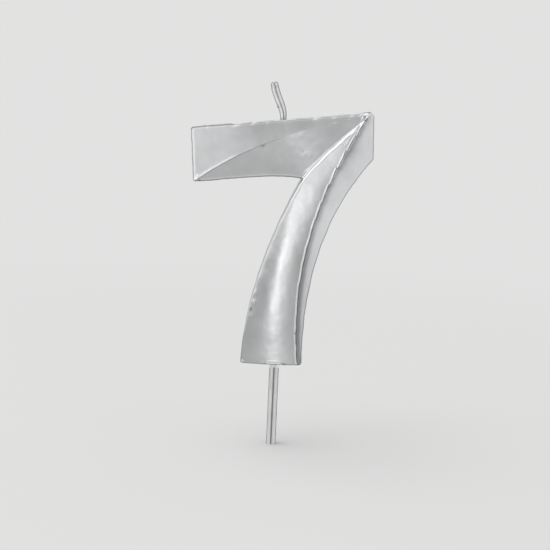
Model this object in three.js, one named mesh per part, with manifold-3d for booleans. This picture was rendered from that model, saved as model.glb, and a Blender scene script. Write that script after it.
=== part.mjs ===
// Numeral candle 7 on a fluted pick. Millimetres, +Z up, front towards -Y, +X to the right seen from the front.
// The origin is where the pick's axis leaves the flat underside of the wax, and the pick points down.
import * as THREE from "three";
import { mergeVertices } from "three/addons/utils/BufferGeometryUtils.js";
import Module from "manifold-3d";

const wasm = await Module();
wasm.setup();

// Numeral outline, seen from the front.
const NUMERAL_HEIGHT = 70; // underside to the bar's upper right corner
const BAR_LENGTH = 49.2; // between the two upper corners, along X
const BAR_REACH = 23.8; // the upper right corner, right of the pick's axis
const BAR_CLIMB = 5.9; // the upper right corner is this much higher than the upper left one
const BAR_END = 14.75; // height of the bar's left end
const BAR_END_LEAN = 1.2; // the left end's lower corner is this much further right than its upper one
const STRAIGHT = [0, 0];
const BAR_ARCH = [0, 1.9]; // bows of the long edges are sideways pulls at their thirds
const SHOULDER_DROP = 12.6; // from the upper right corner down to where the stem's curve starts
const SHOULDER_LEAN = 0.6; // and how much further right that point is
const CROOK_REACH = 5.2; // the inner corner of bar and stem, right of the pick's axis
const CROOK_CLIMB = 2.1; // and its height above the bar's lower left corner
const FOOT_REACH = 9.5; // the foot's left corner, left of the pick's axis
const FOOT_WIDTH = 17;
const STEM_LEFT_BOW = [-3.2, -4.4];
const STEM_RIGHT_BOW = [-8.5, -6.5];

// Creases of the front, where its four facets meet.
const PEAK_INSET = 2.1; // the peak, left of the upper right corner
const PEAK_DROP = 1.6; // and below it
const FOOT_RIDGE_INSET = 1.4; // the stem's ridge at the foot, left of the foot's right corner
const RIDGE_BOW = [-8.1, -8.5];
const CREASE_BOW = [4.25, 4];
const VALLEY_BOW = [1.2, 0.6];

// Depth: the back is flat, the rim is where the side walls end, and the front stands proud of the rim.
const RIM_THICKNESS = 8;
const AXIS_TO_BACK = 4.6;
const PEAK_PROUD = 3.3;
const CORNER_PROUD = 2.4;
const CROOK_PROUD = 1.4;
const FOOT_RIDGE_PROUD = 1.4;
const FOOT_LEFT_PROUD = 0.4;
const CREASE_PROUD_BOW = [2.2, 1.9];
const VALLEY_PROUD_BOW = [0.95, -0.95];
const TOP_PROUD_BOW = [0.7, 1.3];
const RIDGE_PROUD_BOW = [0.7, 0.9];
const STEM_LEFT_PROUD_BOW = [4.4, -0.5];
const STEM_CROWN = 0.65; // how far the stem's front bulges between its left edge and its ridge
const SIDE_HOLLOW = 0.35; // how far the facet right of the ridge sinks below a straight line
const CORNER_RADIUS = 0.5;
const PEAK_CORNER_RADIUS = 1.6;

// Wick, an oval braid. It leaves the top edge and runs inside the bar into the stem.
const WICK_WIDTH = 2.1;
const WICK_DEPTH = 1.4;
const WICK_EXPOSED = 10.6;
const WICK_EXIT_X = -0.45;
const WICK_SETBACK = 0.8; // the wick's plane, behind the pick's axis
const WICK_CLEARANCE = 0.15;

// Pick, a spike with four round ribs.
const PICK_EXPOSED = 45;
const PICK_RIB_RADIUS = 0.66;
const PICK_RIB_OFFSET = 0.66; // from the pick's axis to a rib's centre, along X and along Y
const PICK_TAPER = 9;
const PICK_POINT_RADIUS = 0.25;
const ANCHOR_LENGTH = 17; // the part of the pick inside the wax
const BARB_COUNT = 3;
const BARB_REACH = 0.8; // how far a barb stands out past the ribs
const BARB_HEIGHT = 1.6;
const BARB_PITCH = 4.5;
const PICK_CLEARANCE = 0.15;

// Seal, the collar round the pick under the wax.
const SEAL_WALL = 0.45; // at the wax
const SEAL_LIP = 0.25; // at its lower end
const SEAL_HEIGHT = 1.7;
const SEAL_GAP = 0.1;

// Steps of the front's grid.
const RIDGE_STEPS = 40;
const SHOULDER_STEPS = 6;
const BOTTOM_STEPS = 14;
const VALLEY_STEPS = 12;
const ACROSS_STEPS = 4;
const ROUND_STEPS = 24;

const RIM_Y = AXIS_TO_BACK - RIM_THICKNESS;
const FORWARD = new THREE.Vector3(0, -1, 0);

// A point of the front by its place in the outline and its height above the rim.
function front(x, z, proud) {
  return new THREE.Vector3(x, RIM_Y - proud, z);
}

const foot = 0;
const topRight = front(BAR_REACH, NUMERAL_HEIGHT, CORNER_PROUD);
const topLeft = front(BAR_REACH - BAR_LENGTH, NUMERAL_HEIGHT - BAR_CLIMB, 0);
const lowLeft = front(topLeft.x + BAR_END_LEAN, topLeft.z - BAR_END, 0);
const crook = front(CROOK_REACH, lowLeft.z + CROOK_CLIMB, CROOK_PROUD);
const shoulder = front(BAR_REACH + SHOULDER_LEAN, NUMERAL_HEIGHT - SHOULDER_DROP, 0);
const footLeft = front(-FOOT_REACH, foot, FOOT_LEFT_PROUD);
const footRight = front(FOOT_WIDTH - FOOT_REACH, foot, 0);
const peak = front(topRight.x - PEAK_INSET, topRight.z - PEAK_DROP, PEAK_PROUD);
const footRidge = front(footRight.x - FOOT_RIDGE_INSET, foot, FOOT_RIDGE_PROUD);

// An edge between two points, bowed to its left in the outline and forwards, by amounts at its thirds.
function edge(start, end, sideways = STRAIGHT, forwards = STRAIGHT) {
  const along = end.clone().sub(start);
  const across = new THREE.Vector3(-along.z, 0, along.x).normalize();
  const pulled = (share, side, proud) =>
    start.clone().addScaledVector(along, share).addScaledVector(across, side).addScaledVector(FORWARD, proud);
  const curve = new THREE.CubicBezierCurve3(
    start,
    pulled(1 / 3, sideways[0], forwards[0]),
    pulled(2 / 3, sideways[1], forwards[1]),
    end,
  );
  return (t) => curve.getPoint(t);
}

const topEdge = edge(topLeft, topRight, STRAIGHT, TOP_PROUD_BOW);
const bottomEdge = edge(lowLeft, crook, BAR_ARCH);
const valley = edge(crook, peak, VALLEY_BOW, VALLEY_PROUD_BOW);
const crease = edge(lowLeft, peak, CREASE_BOW, CREASE_PROUD_BOW);
const ridge = edge(peak, footRidge, RIDGE_BOW, RIDGE_PROUD_BOW);
const stemLeft = edge(crook, footLeft, STEM_LEFT_BOW, STEM_LEFT_PROUD_BOW);
const stemRight = edge(shoulder, footRight, STEM_RIGHT_BOW);
const rightEnd = edge(topRight, shoulder);

const part = (curve, from, to) => (t) => curve(from + (to - from) * t);

// A patch of the front between two edges, ruled straight across, with its first ruling bent to follow an edge
// where one is given, and bulged forwards by crown(t) halfway across.
function patch(near, far, steps, across, first = null, crown = () => 0) {
  const rows = [];
  for (let i = 0; i <= steps; i++) {
    const t = i / steps;
    const row = [];
    for (let j = 0; j <= across; j++) {
      const s = j / across;
      const point = near(t).lerp(far(t), s).addScaledVector(FORWARD, crown(t) * 4 * s * (1 - s));
      if (first) {
        const straight = near(0).lerp(far(0), s);
        point.addScaledVector(first(s).sub(straight), 1 - t);
      }
      row.push(point);
    }
    rows.push(row);
  }
  const triangles = [];
  for (let i = 0; i < steps; i++) {
    for (let j = 0; j < across; j++) {
      const [a, b, c, d] = [rows[i][j], rows[i + 1][j], rows[i + 1][j + 1], rows[i][j + 1]];
      triangles.push([a, b, c], [a, c, d]);
    }
  }
  return triangles;
}

function planArea([a, b, c]) {
  return (b.x - a.x) * (c.z - a.z) - (c.x - a.x) * (b.z - a.z);
}

// A closed solid from front triangles: side walls go straight back from the open border to a flat back.
function reliefSolid(triangles, backY) {
  const points = [];
  const known = new Map();
  const indexOf = (p) => {
    const key = [p.x, p.y, p.z].map((v) => Math.round(v * 1e4)).join();
    if (!known.has(key)) {
      known.set(key, points.length);
      points.push(p);
    }
    return known.get(key);
  };
  const faces = [];
  for (const triangle of triangles) {
    const turned = planArea(triangle) > 0 ? triangle : [triangle[0], triangle[2], triangle[1]];
    const face = turned.map(indexOf);
    if (new Set(face).size === 3) {
      faces.push(face);
    }
  }
  const edges = new Set(faces.flatMap(([a, b, c]) => [`${a},${b}`, `${b},${c}`, `${c},${a}`]));
  const next = new Map();
  for (const name of edges) {
    const [a, b] = name.split(",").map(Number);
    if (!edges.has(`${b},${a}`)) {
      next.set(a, b);
    }
  }
  const border = [next.keys().next().value];
  while (next.get(border.at(-1)) !== border[0]) {
    border.push(next.get(border.at(-1)));
  }
  const back = border.map((i) => indexOf(new THREE.Vector3(points[i].x, backY, points[i].z)));
  border.forEach((a, i) => {
    const j = (i + 1) % border.length;
    faces.push([border[j], a, back[i]], [border[j], back[i], back[j]]);
  });
  const outline = back.map((i) => new THREE.Vector2(points[i].x, points[i].z));
  for (const [a, b, c] of THREE.ShapeUtils.triangulateShape(outline, [])) {
    faces.push([back[a], back[c], back[b]]);
  }
  const geometry = new THREE.BufferGeometry();
  const numbers = points.flatMap((p) => [p.x, p.y, p.z]);
  geometry.setAttribute("position", new THREE.Float32BufferAttribute(numbers, 3));
  geometry.setIndex(faces.flat());
  return geometry;
}

// Closed geometry to a manifold-3d solid.
function solid(geometry) {
  const bare = geometry.clone();
  bare.deleteAttribute("normal");
  bare.deleteAttribute("uv");
  const merged = mergeVertices(bare, 1e-4);
  const vertProperties = new Float32Array(merged.attributes.position.array);
  const triVerts = new Uint32Array(merged.index.array);
  return new wasm.Manifold(new wasm.Mesh({ numProp: 3, vertProperties, triVerts }));
}

function meshOf(name, shape, material) {
  let geometry = shape;
  if (!shape.isBufferGeometry) {
    const { vertProperties, triVerts } = shape.getMesh();
    geometry = new THREE.BufferGeometry();
    geometry.setAttribute("position", new THREE.BufferAttribute(vertProperties, 3));
    geometry.setIndex(new THREE.BufferAttribute(triVerts, 1));
    geometry = geometry.toNonIndexed();
  }
  geometry.computeVertexNormals();
  const mesh = new THREE.Mesh(geometry, material);
  mesh.name = name;
  return mesh;
}

// A solid of revolution about Z from [radius, z] pairs, from the axis round to the axis or closed.
function turned(profile) {
  const points = profile.map(([radius, z]) => new THREE.Vector2(radius, z));
  return new THREE.LatheGeometry(points, ROUND_STEPS).rotateX(Math.PI / 2);
}

// A cutter that rounds an upright corner of the outline between two neighbouring outline points.
function cornerCutter(corner, before, after, radius) {
  const flat = (p) => new THREE.Vector2(p.x, p.z);
  const tip = flat(corner);
  const toBefore = flat(before).sub(tip).normalize();
  const toAfter = flat(after).sub(tip).normalize();
  const half = Math.acos(toBefore.dot(toAfter)) / 2;
  const inward = toBefore.clone().add(toAfter).normalize();
  const centre = tip.clone().addScaledVector(inward, radius / Math.sin(half));
  const reach = radius / Math.tan(half);
  const shape = new THREE.Shape();
  const from = tip.clone().addScaledVector(toBefore, reach).sub(centre).angle();
  const to = tip.clone().addScaledVector(toAfter, reach).sub(centre).angle();
  const clockwise = toBefore.cross(toAfter) > 0;
  shape.absarc(centre.x, centre.y, radius, from, to, clockwise);
  const outside = tip.clone().addScaledVector(inward, -radius);
  shape.lineTo(outside.x, outside.y);
  const depth = RIM_THICKNESS + 2 * (PEAK_PROUD + STEM_CROWN);
  const cutter = new THREE.ExtrudeGeometry(shape, { depth, bevelEnabled: false, curveSegments: 5 });
  return solid(cutter.rotateX(Math.PI / 2).translate(0, AXIS_TO_BACK + 1, 0));
}

// The wick's centreline, from its buried end in the stem to its leaning tip.
function wickRoute(extra) {
  const exit = topEdge((WICK_EXIT_X - topLeft.x) / BAR_LENGTH);
  const inner = crook.z - 6;
  const at = (x, z) => new THREE.Vector3(x, WICK_SETBACK, z);
  const tipZ = exit.z + WICK_EXPOSED;
  return new THREE.CatmullRomCurve3([
    at(crook.x + 4.1, inner - extra),
    at(crook.x + 3.4, inner + 3.5),
    at(crook.x + 0.6, crook.z + 5.5),
    at(WICK_EXIT_X + 1, exit.z - 6),
    at(WICK_EXIT_X, exit.z),
    at(WICK_EXIT_X - 0.5, exit.z + 0.32 * WICK_EXPOSED),
    at(WICK_EXIT_X - 1.8, exit.z + 0.6 * WICK_EXPOSED),
    at(WICK_EXIT_X - 3, tipZ),
  ]);
}

function wickBraid(extra) {
  const section = new THREE.Shape();
  section.absellipse(0, 0, WICK_DEPTH / 2 + extra, WICK_WIDTH / 2 + extra, 0, 2 * Math.PI);
  return new THREE.ExtrudeGeometry(section, {
    extrudePath: wickRoute(extra),
    steps: 22,
    curveSegments: 5,
    bevelEnabled: false,
  });
}

const ribReach = Math.sqrt(PICK_RIB_RADIUS ** 2 - PICK_RIB_OFFSET ** 2);
const pickRadius = PICK_RIB_OFFSET * Math.SQRT2 + PICK_RIB_RADIUS;
const barbRadius = pickRadius + BARB_REACH;

// The pick's section: four round ribs that meet in narrow flutes.
function pickSection() {
  const shape = new THREE.Shape();
  const swing = Math.atan2(PICK_RIB_OFFSET, ribReach);
  for (let rib = 0; rib < 4; rib++) {
    const turn = (rib * Math.PI) / 2;
    const centre = new THREE.Vector2(PICK_RIB_OFFSET, PICK_RIB_OFFSET).rotateAround(new THREE.Vector2(), turn);
    shape.absarc(centre.x, centre.y, PICK_RIB_RADIUS, turn - swing, turn + Math.PI / 2 + swing, false);
  }
  return shape;
}

// The anchor's barbs in half section, each widest at its foot, grown by a clearance for the hole in the wax.
function anchorProfile(extra) {
  const profile = [[0, -extra], [pickRadius + extra, -extra]];
  for (let barb = 1; barb <= BARB_COUNT; barb++) {
    const low = barb * BARB_PITCH - BARB_HEIGHT / 2;
    profile.push([pickRadius + extra, low - extra]);
    profile.push([barbRadius + extra, low - extra]);
    profile.push([barbRadius + extra, low + extra]);
    profile.push([pickRadius + extra, low + BARB_HEIGHT + extra]);
  }
  profile.push([pickRadius + extra, ANCHOR_LENGTH + extra], [0, ANCHOR_LENGTH + extra]);
  return profile;
}

function pick() {
  const length = PICK_EXPOSED + ANCHOR_LENGTH;
  const options = { depth: length, curveSegments: 7, bevelEnabled: false };
  const ribbed = new THREE.ExtrudeGeometry(pickSection(), options);
  const spike = turned([
    [0, -PICK_EXPOSED],
    [PICK_POINT_RADIUS, -PICK_EXPOSED],
    [pickRadius + PICK_CLEARANCE, -PICK_EXPOSED + PICK_TAPER],
    [pickRadius + PICK_CLEARANCE, ANCHOR_LENGTH],
    [0, ANCHOR_LENGTH],
  ]);
  const shank = solid(ribbed.translate(0, 0, -PICK_EXPOSED)).intersect(solid(spike));
  let whole = shank;
  for (let barb = 1; barb <= BARB_COUNT; barb++) {
    const low = barb * BARB_PITCH - BARB_HEIGHT / 2;
    const ring = turned([[0, low], [barbRadius, low], [pickRadius, low + BARB_HEIGHT], [0, low + BARB_HEIGHT]]);
    whole = whole.add(solid(ring));
  }
  return whole;
}

function pickSeal() {
  const bore = pickRadius + PICK_CLEARANCE;
  return turned([
    [bore, -SEAL_GAP - SEAL_HEIGHT],
    [bore + SEAL_LIP, -SEAL_GAP - SEAL_HEIGHT],
    [bore + 0.55 * SEAL_WALL, -SEAL_GAP - 0.35 * SEAL_HEIGHT],
    [bore + SEAL_WALL, -SEAL_GAP],
    [bore, -SEAL_GAP],
    [bore, -SEAL_GAP - SEAL_HEIGHT],
  ]);
}

function waxNumeral() {
  const shoulderShare = SHOULDER_STEPS / RIDGE_STEPS;
  const creaseShare = BOTTOM_STEPS / (BOTTOM_STEPS + VALLEY_STEPS);
  const creaseSteps = BOTTOM_STEPS + VALLEY_STEPS;
  const stemSteps = RIDGE_STEPS - SHOULDER_STEPS;
  const crown = (t) => STEM_CROWN * (1 - (1 - t) ** 2);
  const hollow = () => -SIDE_HOLLOW;
  const facets = [
    patch(topEdge, crease, creaseSteps, ACROSS_STEPS),
    patch(part(crease, 0, creaseShare), bottomEdge, BOTTOM_STEPS, ACROSS_STEPS),
    patch(part(crease, creaseShare, 1), valley, VALLEY_STEPS, ACROSS_STEPS),
    patch(stemLeft, ridge, RIDGE_STEPS, VALLEY_STEPS, valley, crown),
    patch(part(ridge, 0, shoulderShare), rightEnd, SHOULDER_STEPS, ACROSS_STEPS, null, (t) => hollow() * t),
    patch(part(ridge, shoulderShare, 1), stemRight, stemSteps, ACROSS_STEPS, null, hollow),
  ];
  let body = solid(reliefSolid(facets.flat(), AXIS_TO_BACK));
  const corners = [
    [topRight, topLeft, shoulder, PEAK_CORNER_RADIUS],
    [topLeft, lowLeft, topRight, CORNER_RADIUS],
    [lowLeft, bottomEdge(1 / BOTTOM_STEPS), topLeft, CORNER_RADIUS],
    [shoulder, topRight, stemRight(1 / stemSteps), CORNER_RADIUS],
    [footRight, stemRight(1 - 1 / stemSteps), footLeft, CORNER_RADIUS],
    [footLeft, footRight, stemLeft(1 - 1 / RIDGE_STEPS), CORNER_RADIUS],
  ];
  for (const [corner, before, after, radius] of corners) {
    body = body.subtract(cornerCutter(corner, before, after, radius));
  }
  const socket = turned(anchorProfile(PICK_CLEARANCE));
  return body.subtract(solid(socket)).subtract(solid(wickBraid(WICK_CLEARANCE)));
}

const silverLacquer = new THREE.MeshStandardMaterial({ color: 0xb9bcbd, metalness: 0.9, roughness: 0.32 });
const silverPick = new THREE.MeshStandardMaterial({ color: 0xc4c6c7, metalness: 0.9, roughness: 0.25 });
const silverBraid = new THREE.MeshStandardMaterial({ color: 0xa9a8a4, metalness: 0.6, roughness: 0.45 });
const silverSeal = new THREE.MeshStandardMaterial({ color: 0xc9cbcc, metalness: 0.9, roughness: 0.2 });

const candle = new THREE.Group();
candle.add(meshOf("wax_numeral", waxNumeral(), silverLacquer));
candle.add(meshOf("wick", wickBraid(0), silverBraid));
candle.add(meshOf("pick", pick(), silverPick));
candle.add(meshOf("pick_seal", pickSeal(), silverSeal));

export default candle;
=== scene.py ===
"""Looks of the numeral candle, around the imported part. Lengths are in millimetres until a mesh is made."""
import math
from types import SimpleNamespace

import bpy
import numpy as np
from mathutils import Matrix, Vector


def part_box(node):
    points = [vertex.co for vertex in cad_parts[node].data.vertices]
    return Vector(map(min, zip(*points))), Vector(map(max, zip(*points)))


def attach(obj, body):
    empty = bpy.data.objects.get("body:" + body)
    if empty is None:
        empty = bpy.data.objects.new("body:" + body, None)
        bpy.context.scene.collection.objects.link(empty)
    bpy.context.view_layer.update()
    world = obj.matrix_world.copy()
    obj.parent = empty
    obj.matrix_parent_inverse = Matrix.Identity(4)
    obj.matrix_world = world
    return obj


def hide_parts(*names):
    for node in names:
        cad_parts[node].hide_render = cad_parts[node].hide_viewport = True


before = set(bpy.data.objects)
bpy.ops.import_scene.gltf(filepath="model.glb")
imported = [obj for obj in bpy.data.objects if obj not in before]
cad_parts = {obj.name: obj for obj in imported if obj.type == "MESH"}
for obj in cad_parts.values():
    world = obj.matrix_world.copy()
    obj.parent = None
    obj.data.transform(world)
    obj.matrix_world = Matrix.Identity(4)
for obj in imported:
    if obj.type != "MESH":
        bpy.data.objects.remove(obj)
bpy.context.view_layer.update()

MM = 0.001
BODY = "root"


def node_box(name):
    """A CAD node's lowest and highest corners in millimetres."""
    low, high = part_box(name)
    return np.array(low) / MM, np.array(high) / MM


wax_low, wax_high = node_box("wax_numeral")
wick_low, wick_high = node_box("wick")
pick_low, pick_high = node_box("pick")
seal_low, seal_high = node_box("pick_seal")

# The numeral's outline and creases, as the part has them: x to the right, z up from the underside. Each bow
# is a pair of pulls at an edge's thirds.
FOOT = wax_low[2]
BACK_Y = wax_high[1]
NUMERAL_HEIGHT = 70.0
BAR_LENGTH, BAR_REACH, BAR_CLIMB = 49.2, 23.8, 5.9
BAR_END, BAR_END_LEAN = 14.75, 1.2
BAR_ARCH = (0.0, 1.9)
SHOULDER_DROP, SHOULDER_LEAN = 12.6, 0.6
CROOK_REACH, CROOK_CLIMB = 5.2, 2.1
FOOT_REACH, FOOT_WIDTH = 9.5, 17.0
STEM_LEFT_BOW, STEM_RIGHT_BOW = (-3.2, -4.4), (-8.5, -6.5)
PEAK_INSET, PEAK_DROP, FOOT_RIDGE_INSET = 2.1, 1.6, 1.4
RIDGE_BOW, CREASE_BOW, VALLEY_BOW = (-8.1, -8.5), (4.25, 4.0), (1.2, 0.6)
RIM_THICKNESS = 8.0

# Heights of the front above the rim plane, and the same kind of pulls forwards.
PEAK_PROUD, CORNER_PROUD, CROOK_PROUD = 3.3, 2.6, 1.4
FOOT_RIDGE_PROUD, FOOT_LEFT_PROUD, LOW_LEFT_PROUD = 1.2, 0.5, 0.2
TOP_PROUD_BOW, CREASE_PROUD_BOW = (0.7, 1.3), (2.2, 1.9)
RIDGE_PROUD_BOW, STEM_LEFT_PROUD_BOW = (0.7, 0.9), (3.2, 0.4)
VALLEY_PROUD_BOW = (0.95, -0.95)
SIDE_SWELL = 0.5

# The stem's crest: where it lies between the stem's left edge and its ridge, and its height over the ridge,
# each given down the stem from its root to the foot.
CREST_PLACES = (0.0, 0.06, 0.17, 0.27, 0.38, 0.49, 0.7, 1.0)
CREST_SHARES = (0.1, 0.16, 0.2, 0.31, 0.45, 0.52, 0.58, 0.62)
CREST_OVER_RIDGE = (0.2, 0.2, 0.22, 0.26, 0.32, 0.42, 0.5, 0.55)
CREST_OVER_LEFT = (0.6, 0.35, 0.22, 0.34, 0.66, 0.96, 1.31, 1.25)
ROOT_BLEND = 0.045

# Small forms of the cast and its lacquer.
FRONT_ROUND, BACK_ROUND = 0.3, 0.45
CORNER_ROUND, PEAK_CORNER_ROUND = 0.6, 1.6
LIP_HEIGHT, LIP_WIDTH = 0.16, 0.17
STEP_COUNT, STEP_END, STEP_SHIFT = 7, 0.5, 0.42


# ---------------------------------------------------------------- curves

def plan_point(x, z, proud):
    return np.array([x, proud, z], float)


TOP_RIGHT = plan_point(BAR_REACH, FOOT + NUMERAL_HEIGHT, CORNER_PROUD)
TOP_LEFT = plan_point(BAR_REACH - BAR_LENGTH, TOP_RIGHT[2] - BAR_CLIMB, 0)
LOW_LEFT = plan_point(TOP_LEFT[0] + BAR_END_LEAN, TOP_LEFT[2] - BAR_END, LOW_LEFT_PROUD)
CROOK = plan_point(CROOK_REACH, LOW_LEFT[2] + CROOK_CLIMB, CROOK_PROUD)
SHOULDER = plan_point(BAR_REACH + SHOULDER_LEAN, TOP_RIGHT[2] - SHOULDER_DROP, 0)
FOOT_LEFT = plan_point(-FOOT_REACH, FOOT, FOOT_LEFT_PROUD)
FOOT_RIGHT = plan_point(FOOT_WIDTH - FOOT_REACH, FOOT, 0)
PEAK = plan_point(TOP_RIGHT[0] - PEAK_INSET, TOP_RIGHT[2] - PEAK_DROP, PEAK_PROUD)
FOOT_RIDGE = plan_point(FOOT_RIGHT[0] - FOOT_RIDGE_INSET, FOOT, FOOT_RIDGE_PROUD)


def edge(start, end, sideways=(0, 0), proud=(0, 0)):
    """A cubic edge pulled sideways in the outline, and forwards, at its thirds."""
    along = end - start
    across = np.array([-along[2], 0, along[0]]) / math.hypot(along[0], along[2])
    forward = np.array([0, 1.0, 0])
    first = start + along / 3 + across * sideways[0] + forward * proud[0]
    second = start + along * 2 / 3 + across * sideways[1] + forward * proud[1]

    def at(t):
        t = np.asarray(t, float)[..., None]
        return ((1 - t) ** 3 * start + 3 * t * (1 - t) ** 2 * first
                + 3 * t * t * (1 - t) * second + t ** 3 * end)
    return at


top_edge = edge(TOP_LEFT, TOP_RIGHT, proud=TOP_PROUD_BOW)
left_end = edge(TOP_LEFT, LOW_LEFT)
bottom_edge = edge(LOW_LEFT, CROOK, BAR_ARCH)
valley = edge(CROOK, PEAK, VALLEY_BOW, VALLEY_PROUD_BOW)
crease = edge(LOW_LEFT, PEAK, CREASE_BOW, CREASE_PROUD_BOW)
ridge = edge(PEAK, FOOT_RIDGE, RIDGE_BOW, RIDGE_PROUD_BOW)
stem_left = edge(CROOK, FOOT_LEFT, STEM_LEFT_BOW, STEM_LEFT_PROUD_BOW)
stem_right = edge(SHOULDER, FOOT_RIGHT, STEM_RIGHT_BOW)
right_end = edge(TOP_RIGHT, SHOULDER)


# ---------------------------------------------------------------- the front as one graded grid

def graded(count, tightness):
    """Parameters from 0 to 1, closer together near both ends."""
    u = np.linspace(0, 1, count + 1)
    return u - tightness * np.sin(2 * np.pi * u) / (2 * np.pi)


ACROSS = graded(34, 0.93)
STEM_ACROSS = graded(46, 0.93)
BOTTOM_ALONG = graded(56, 0.8)
SHOULDER_SHARE = 0.16  # of the ridge, beside the bar's right end
CREASE_SHARE = 0.55  # of the crease, over the bar's lower edge
FULL_SWELL_WIDTH = 8
RIDGE_ALONG = np.concatenate([graded(26, 0.6)[:-1] * SHOULDER_SHARE,
                              SHOULDER_SHARE + (1 - SHOULDER_SHARE) * graded(120, 0.7)])
SHOULDER_ROWS = 27
CREASE_ALONG = np.concatenate([BOTTOM_ALONG[:-1] * CREASE_SHARE,
                               CREASE_SHARE + (1 - CREASE_SHARE) * STEM_ACROSS])


def ruled(near, far, along_near, along_far, across):
    """Rows of points straight across between two edges."""
    a = near(along_near)[:, None, :]
    b = far(along_far)[:, None, :]
    s = across[None, :, None]
    return a * (1 - s) + b * s


def stem_rows():
    """The stem's front: steep on its left, then slowly falling to the ridge. Its first row is the valley."""
    t = RIDGE_ALONG
    rows = ruled(stem_left, ridge, t, t, STEM_ACROSS)
    bend = valley(STEM_ACROSS) - rows[0]
    rows = rows + bend[None] * ((1 - t) ** 2)[:, None, None]
    right = rows[:, -1:, 1]
    s = STEM_ACROSS[None, :]
    crest = np.interp(t, CREST_PLACES, CREST_SHARES)[:, None]
    top = right + np.interp(t, CREST_PLACES, CREST_OVER_RIDGE)[:, None]
    left_drop = np.interp(t, CREST_PLACES, CREST_OVER_LEFT)[:, None]
    rise = top - left_drop * ((crest - s) / crest) ** 2
    fall = top - (top - right) * ((s - crest) / (1 - crest)) ** 2
    curved = np.where(s < crest, rise, fall)
    blend = (np.clip(t / ROOT_BLEND, 0, 1) ** 0.6)[:, None]
    rows[..., 1] += (curved - rows[..., 1]) * blend
    return rows


def side_rows(near, far, along_near, along_far):
    """The facet right of the ridge, which falls more steeply towards the rim."""
    rows = ruled(near, far, along_near, along_far, ACROSS)
    s = ACROSS[None, :]
    width = np.linalg.norm((rows[:, -1] - rows[:, 0])[..., [0, 2]], axis=-1)[:, None]
    rows[..., 1] += SIDE_SWELL * 4 * s * (1 - s) * np.clip(width / FULL_SWELL_WIDTH, 0, 1)
    return rows


def front_patches():
    low_share, high_share = RIDGE_ALONG[:SHOULDER_ROWS], RIDGE_ALONG[SHOULDER_ROWS - 1:]
    valley_share = CREASE_SHARE + (1 - CREASE_SHARE) * STEM_ACROSS
    return {
        "upper": ruled(top_edge, crease, CREASE_ALONG, CREASE_ALONG, ACROSS),
        "lower": ruled(crease, bottom_edge, BOTTOM_ALONG * CREASE_SHARE, BOTTOM_ALONG, ACROSS),
        "inner": ruled(crease, valley, valley_share, STEM_ACROSS, ACROSS),
        "stem": stem_rows(),
        "end": side_rows(ridge, right_end, low_share, low_share / SHOULDER_SHARE),
        "side": side_rows(ridge, stem_right, high_share,
                          (high_share - SHOULDER_SHARE) / (1 - SHOULDER_SHARE)),
    }


def joined_grid(patches):
    """One set of points and faces from the patches, all wound alike, and each point's patch name."""
    points, faces, known, owner = [], [], {}, []

    def index_of(p, name):
        key = (round(p[0] * 1000), round(p[2] * 1000))
        if key not in known:
            known[key] = len(points)
            points.append(p)
            owner.append(name)
        return known[key]

    for name, rows in patches.items():
        ids = [[index_of(p, name) for p in row] for row in rows]
        for i in range(len(ids) - 1):
            for j in range(len(ids[0]) - 1):
                ring = [ids[i][j], ids[i + 1][j], ids[i + 1][j + 1], ids[i][j + 1]]
                face = [v for k, v in enumerate(ring) if v != ring[k - 1]]
                if len(set(face)) < 3 or len(set(face)) != len(face):
                    continue
                area = 0.0
                for k, v in enumerate(face):
                    p, q = points[face[k - 1]], points[v]
                    area += p[0] * q[2] - q[0] * p[2]
                faces.append(face if area > 0 else face[::-1])
    return np.array(points), faces, owner


def border_loop(faces):
    """The border's points in order, from the edges that only one face has."""
    directed = {(f[k - 1], f[k]) for f in faces for k in range(len(f))}
    following = {a: b for a, b in directed if (b, a) not in directed}
    loop = [next(iter(sorted(following)))]
    while following[loop[-1]] != loop[0]:
        loop.append(following[loop[-1]])
    return loop


def distance_to_line(points, line, closed=False):
    """Plan distance from points to a polyline, and the nearest place along it as a share of its length."""
    line = np.asarray(line)[:, [0, 2]]
    if closed:
        line = np.vstack([line, line[:1]])
    a, b = line[:-1], line[1:]
    step = b - a
    length = np.maximum(np.linalg.norm(step, axis=1), 1e-9)
    start = np.concatenate([[0], np.cumsum(length)])
    best = np.full(len(points), 1e9)
    place = np.zeros(len(points))
    flat = points[:, [0, 2]]
    for k in range(len(a)):
        rel = flat - a[k]
        u = np.clip(rel @ step[k] / length[k] ** 2, 0, 1)
        d = np.linalg.norm(rel - u[:, None] * step[k], axis=1)
        near = d < best
        best[near] = d[near]
        place[near] = (start[k] + u[near] * length[k]) / start[-1]
    return best, place


# ---------------------------------------------------------------- small forms

def waves(x, z, seed, sizes):
    """Smooth uneven height from a few waves in random directions, one (length, height) pair per octave."""
    draw = np.random.default_rng(seed)
    total = np.zeros_like(x)
    for length, height in sizes:
        for _ in range(7):
            angle, phase = draw.uniform(0, 2 * math.pi, 2)
            k = 2 * math.pi / length * draw.uniform(0.7, 1.3)
            total += height / 2.6 * np.sin(k * (x * math.cos(angle) + z * math.sin(angle)) + phase)
    return total


def bell(distance, width):
    return np.exp(-(distance / width) ** 2)


def round_drop(distance, radius):
    """How far a quarter-round edge falls below the face at a distance from the border."""
    inside = np.clip(radius - distance, 0, radius)
    return radius - np.sqrt(radius ** 2 - inside ** 2)


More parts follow.
